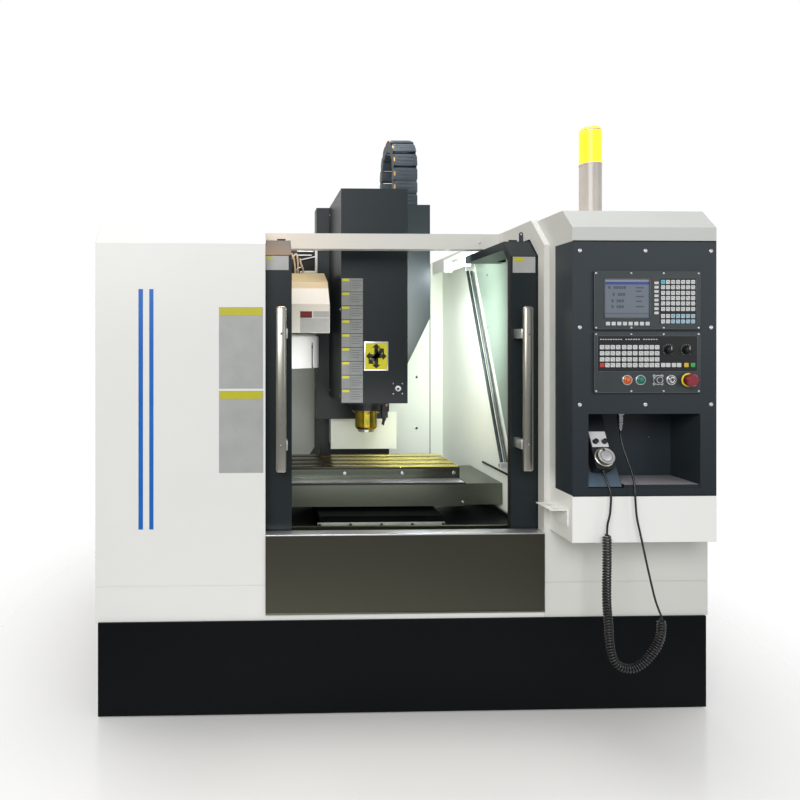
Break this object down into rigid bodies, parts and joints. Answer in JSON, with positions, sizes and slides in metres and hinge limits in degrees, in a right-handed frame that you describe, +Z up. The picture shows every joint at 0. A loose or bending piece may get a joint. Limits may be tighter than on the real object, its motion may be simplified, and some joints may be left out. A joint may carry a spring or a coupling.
{
  "type": "machining center",
  "caption": "Vertical machining centre with open sliding doors, cross table, spindle head, tool drum, signal light and a control pendant with a handwheel on a curly cord.",
  "frame": {"origin": "on the floor, on the centre line of the guard, midway between the front of the emergency stop and the back of the cabinet door", "axes": "+X to the right of a user at the front, +Y from the front to the back, +Z up"},
  "size_m": [2.1, 1.796, 2.299],
  "materials": {
    "white_paint": "powder_coat",
    "cream_paint": "gloss",
    "charcoal_paint": "powder_coat",
    "navy_paint": "powder_coat",
    "stainless_steel": "brushed",
    "ground_steel": "ground",
    "machine_casting": "painted",
    "oiled_iron": "oiled",
    "polycarbonate": "clear",
    "black_plastic": "moulded",
    "orange_plastic": "moulded",
    "green_plastic": "moulded",
    "red_plastic": "moulded",
    "amber_lens": "moulded",
    "light_keys": "moulded",
    "cord_jacket": "matte"
  },
  "bodies": {
    "machine": {"base_plinth": "navy_paint", "levelling_feet": "ground_steel", "bed": "machine_casting", "column": "machine_casting", "left_guard": "white_paint", "right_guard": "white_paint", "chamber": "cream_paint", "front_panel": "stainless_steel", "top_beam": "white_paint", "pendant_shell": "charcoal_paint", "pendant_frame": "white_paint", "cnc_unit": "black_plastic", "display_screen": "polycarbonate", "key_sheets": "light_keys", "operator_panel": "charcoal_paint", "panel_screws": "ground_steel", "handwheel_box": "black_plastic", "cord_lead_in": "cord_jacket", "cord_curl": "cord_jacket", "cord_lead_out": "cord_jacket", "cord_plug": "ground_steel", "signal_light_body": "cream_paint", "signal_light_lens": "amber_lens", "work_lamp": "cream_paint", "conduits": "stainless_steel", "guide_rails": "ground_steel", "axis_motors": "black_plastic", "magazine_housing": "white_paint", "electrical_cabinet": "white_paint", "cable_chain": "black_plastic"},
    "left_door": {"left_door": "charcoal_paint", "left_window": "polycarbonate", "left_handle": "stainless_steel"},
    "right_door": {"right_door": "charcoal_paint", "right_window": "polycarbonate", "right_handle": "stainless_steel"},
    "cabinet_door": {"cabinet_door": "white_paint"},
    "saddle": {"saddle": "machine_casting", "cover_wings": "stainless_steel"},
    "table": {"table": "oiled_iron", "way_cover": "stainless_steel"},
    "head": {"head_casting": "machine_casting", "head_cover": "charcoal_paint", "spindle_cartridge": "oiled_iron", "spindle_motor": "black_plastic"},
    "spindle": {"spindle": "ground_steel"},
    "magazine_carriage": {"magazine_carriage": "machine_casting"},
    "tool_carousel": {"tool_carousel": "white_paint"},
    "x_screw": {"x_screw": "ground_steel"},
    "y_screw": {"y_screw": "ground_steel"},
    "z_screw": {"z_screw": "ground_steel"},
    "orange_button": {"orange_button": "orange_plastic"},
    "green_button": {"green_button": "green_plastic"},
    "key_switch": {"key_switch": "ground_steel"},
    "estop_button": {"estop_button": "red_plastic"},
    "feed_dial": {"feed_dial": "black_plastic"},
    "speed_dial": {"speed_dial": "black_plastic"},
    "handwheel_dial": {"handwheel_dial": "ground_steel"},
    "axis_knob": {"axis_knob": "black_plastic"},
    "step_knob": {"step_knob": "black_plastic"}
  },
  "joints": [
    {"name": "left_door_slide", "type": "slide", "parent": "machine", "child": "left_door", "axis": [1, 0, 0], "range_m": [0, 0.3845]},
    {"name": "right_door_slide", "type": "slide", "parent": "machine", "child": "right_door", "axis": [-1, 0, 0], "range_m": [0, 0.3845]},
    {"name": "saddle_slide", "type": "slide", "parent": "machine", "child": "saddle", "axis": [0, 1, 0], "range_m": [-0.13, 0.13]},
    {"name": "table_slide", "type": "slide", "parent": "saddle", "child": "table", "axis": [1, 0, 0], "range_m": [-0.15, 0.15]},
    {"name": "head_slide", "type": "slide", "parent": "machine", "child": "head", "axis": [0, 0, 1], "range_m": [-0.06, 0.29], "deforming": ["cable_chain"]},
    {"name": "spindle_turn", "type": "hinge", "parent": "head", "child": "spindle", "pos_m": [0, 0.045, 0.9], "axis": [0, 0, 1], "continuous": true},
    {"name": "x_screw_turn", "type": "hinge", "parent": "saddle", "child": "x_screw", "pos_m": [0, 0.046, 0.588], "axis": [1, 0, 0], "range_deg": [-5500, 5500]},
    {"name": "y_screw_turn", "type": "hinge", "parent": "machine", "child": "y_screw", "pos_m": [0, -0.002, 0.435], "axis": [0, 1, 0], "range_deg": [-4800, 4800]},
    {"name": "z_screw_turn", "type": "hinge", "parent": "machine", "child": "z_screw", "pos_m": [0, 0.393, 1.3], "axis": [0, 0, 1], "range_deg": [-2300, 10600]},
    {"name": "magazine_slide", "type": "slide", "parent": "machine", "child": "magazine_carriage", "axis": [1, 0, 0], "range_m": [0, 0.065]},
    {"name": "carousel_turn", "type": "hinge", "parent": "magazine_carriage", "child": "tool_carousel", "pos_m": [-0.425, 0.045, 1.2], "axis": [0, 0, 1], "continuous": true},
    {"name": "cabinet_door_hinge", "type": "hinge", "parent": "machine", "child": "cabinet_door", "pos_m": [-0.507, 0.883, 1], "axis": [0, 0, 1], "range_deg": [0, 110]},
    {"name": "orange_button_press", "type": "slide", "parent": "machine", "child": "orange_button", "axis": [0, 1, 0], "range_m": [0, 0.004], "stiffness_N_per_m": 300},
    {"name": "green_button_press", "type": "slide", "parent": "machine", "child": "green_button", "axis": [0, 1, 0], "range_m": [0, 0.004], "stiffness_N_per_m": 300},
    {"name": "estop_press", "type": "slide", "parent": "machine", "child": "estop_button", "axis": [0, 1, 0], "range_m": [0, 0.006]},
    {"name": "key_turn", "type": "hinge", "parent": "machine", "child": "key_switch", "pos_m": [0.811, -0.867, 1.14], "axis": [0, 1, 0], "range_deg": [0, 90]},
    {"name": "feed_dial_turn", "type": "hinge", "parent": "machine", "child": "feed_dial", "pos_m": [0.803, -0.867, 1.236], "axis": [0, 1, 0], "range_deg": [-135, 135]},
    {"name": "speed_dial_turn", "type": "hinge", "parent": "machine", "child": "speed_dial", "pos_m": [0.862, -0.867, 1.236], "axis": [0, 1, 0], "range_deg": [-135, 135]},
    {"name": "handwheel_turn", "type": "hinge", "parent": "machine", "child": "handwheel_dial", "pos_m": [0.6025, -0.8583, 0.8938], "axis": [0, 0.8746, -0.4848], "continuous": true},
    {"name": "axis_knob_turn", "type": "hinge", "parent": "machine", "child": "axis_knob", "pos_m": [0.5875, -0.8321, 0.94105], "axis": [0, 0.8746, -0.4848], "range_deg": [-60, 60]},
    {"name": "step_knob_turn", "type": "hinge", "parent": "machine", "child": "step_knob", "pos_m": [0.6175, -0.8321, 0.94105], "axis": [0, 0.8746, -0.4848], "range_deg": [-45, 45]}
  ],
  "couplings": [
    {"joint": "x_screw_turn", "follows": "table_slide", "rad_per_m": 628.32},
    {"joint": "y_screw_turn", "follows": "saddle_slide", "rad_per_m": 628.32},
    {"joint": "z_screw_turn", "follows": "head_slide", "rad_per_m": 628.32}
  ]
}
